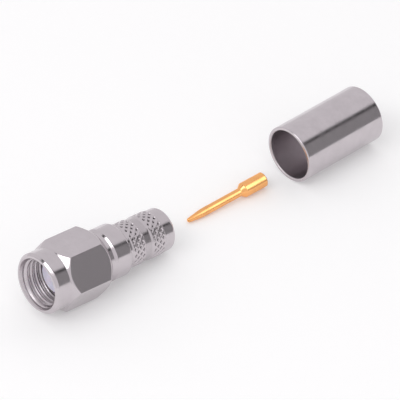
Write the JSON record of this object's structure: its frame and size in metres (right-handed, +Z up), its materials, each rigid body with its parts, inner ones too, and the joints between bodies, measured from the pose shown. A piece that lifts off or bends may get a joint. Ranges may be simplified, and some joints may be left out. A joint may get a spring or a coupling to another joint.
{
  "type": "sma connector",
  "caption": "Coaxial crimp plug laid out as loose parts: plug with turning hexagonal coupling nut and knurled crimp neck, gold centre contact and thin crimp ferrule.",
  "frame": {"origin": "on the floor, under the middle of the whole set's bounding box", "axes": "+X along the row, from the coupling nut's mouth past the knurled neck and the loose contact to the ferrule, whose axis it is; +Z up from the floor; +Y is to the left for a viewer who looks along +X. The plug's axis leans down by 6.24 degrees towards +X, as its rear end is thinner."},
  "size_m": [0.0538, 0.0092, 0.0087],
  "materials": {
    "nickel_plate": "polished",
    "insulator_white": "satin",
    "spring_bronze": "satin",
    "gasket_rubber": "matte",
    "gold_plate": "polished"
  },
  "bodies": {
    "plug": {"plug_body": "nickel_plate", "insulator": "insulator_white", "retaining_ring": "spring_bronze", "gasket": "gasket_rubber", "contact_pin": "gold_plate", "crimp_ferrule": "nickel_plate"},
    "nut": {"coupling_nut": "nickel_plate"}
  },
  "joints": [
    {"name": "nut_spin", "type": "hinge", "parent": "plug", "child": "nut", "pos_m": [-0.0265, 0, 0.00489], "axis": [0.9941, 0, -0.1087], "continuous": true}
  ]
}
